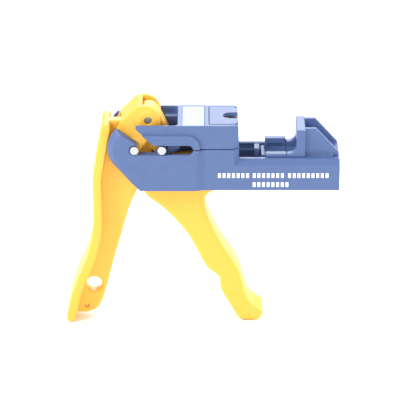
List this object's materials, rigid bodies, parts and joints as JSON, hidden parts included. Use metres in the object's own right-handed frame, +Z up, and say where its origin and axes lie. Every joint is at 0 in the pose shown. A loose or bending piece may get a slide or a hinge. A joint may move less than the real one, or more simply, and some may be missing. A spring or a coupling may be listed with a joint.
{
  "type": "punch down tool",
  "caption": "Hand-squeezed punch down tool for modular jacks: a lever and toggle yoke push a blade carriage along a base towards a nest that holds the jack.",
  "frame": {"origin": "middle of the bounding box, on the plane that the grip's foot and the lever's toe stand on", "axes": "+X from the rear lever to the nest, +Y to the left side of someone looking along +X, +Z up"},
  "size_m": [0.1828, 0.043, 0.1575],
  "materials": {
    "blue_plastic": "fine moulded texture",
    "yellow_plastic": "satin",
    "steel": "turned",
    "spring_steel": "oil darkened",
    "tan_plastic": "fine moulded texture",
    "label": "smooth",
    "nylon": "natural"
  },
  "bodies": {
    "head": {"head_base": "blue_plastic", "front_grip": "yellow_plastic", "grip_screws": "steel", "jack_cradle": "blue_plastic", "back_stop": "blue_plastic", "nest_screws": "steel"},
    "yoke": {"toggle_yoke": "yellow_plastic", "anchor_pin_left": "steel", "anchor_pin_right": "steel", "elbow_pin": "steel", "return_spring": "spring_steel", "hub_spacer": "nylon"},
    "lever": {"rear_lever": "yellow_plastic", "drive_pin": "steel"},
    "carriage": {"slide_carriage": "blue_plastic", "label_plate": "label", "blade_cover": "blue_plastic", "blade_holder": "tan_plastic", "holder_screws": "steel", "seating_blade_1": "steel", "seating_blade_2": "steel", "seating_blade_3": "steel", "seating_blade_4": "steel", "seating_blade_5": "steel", "seating_blade_6": "steel", "seating_blade_7": "steel", "seating_blade_8": "steel", "trim_blade_left": "steel", "trim_blade_right": "steel"}
  },
  "joints": [
    {"name": "yoke_swing", "type": "hinge", "parent": "head", "child": "yoke", "pos_m": [-0.04413, 0, 0.1296], "axis": [0, 1, 0], "range_deg": [0, 26.05]},
    {"name": "lever_squeeze", "type": "hinge", "parent": "yoke", "child": "lever", "pos_m": [-0.03508, 0, 0.14721], "axis": [0, -1, 0], "range_deg": [0, 52], "stiffness_Nm_per_rad": 0.6, "springref_deg": -28.65},
    {"name": "carriage_slide", "type": "slide", "parent": "head", "child": "carriage", "axis": [1, 0, 0], "range_m": [0, 0.01363]}
  ],
  "couplings": [
    {"joint": "yoke_swing", "follows": "lever_squeeze", "ratio": 0.5},
    {"joint": "carriage_slide", "follows": "lever_squeeze", "m_per_rad": 0.014994}
  ]
}
